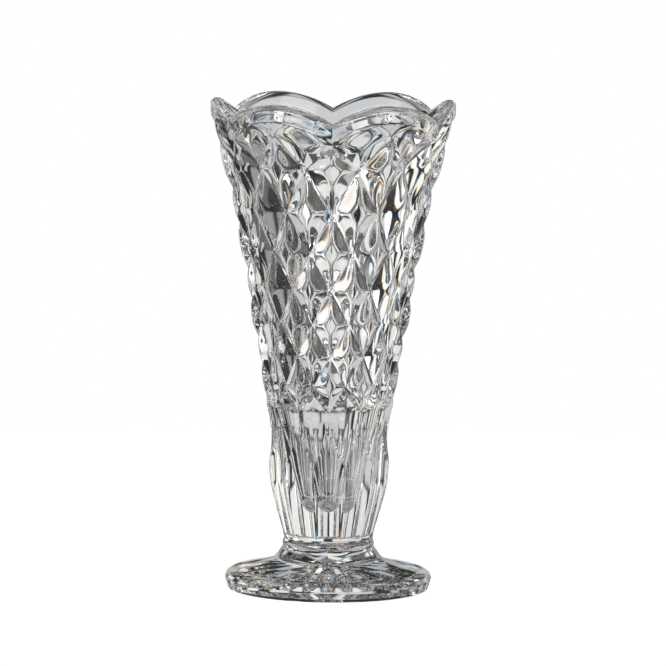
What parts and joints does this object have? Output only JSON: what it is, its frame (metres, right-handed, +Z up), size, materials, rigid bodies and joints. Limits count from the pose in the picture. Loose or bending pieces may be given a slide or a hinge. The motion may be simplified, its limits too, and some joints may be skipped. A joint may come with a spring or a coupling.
{
  "type": "cut crystal vase",
  "caption": "Footed trumpet vase in cut crystal with a scalloped rim, raised diamonds, hollow panels, flutes, a collar and a round star-cut foot.",
  "frame": {"origin": "centre of the foot's resting ring, on the surface that the vase stands on", "axes": "+Z up along the vase's axis, +X through a crest of the scalloped rim, -Y through a low point of the rim"},
  "size_m": [0.1004, 0.0982, 0.2],
  "materials": {
    "bowl_crystal": "polished, clear and colourless",
    "collar_crystal": "polished, clear and colourless",
    "foot_crystal": "polished, clear and colourless"
  },
  "bodies": {
    "root": {"bowl": "bowl_crystal", "neck_collar": "collar_crystal", "foot": "foot_crystal"}
  },
  "joints": []
}
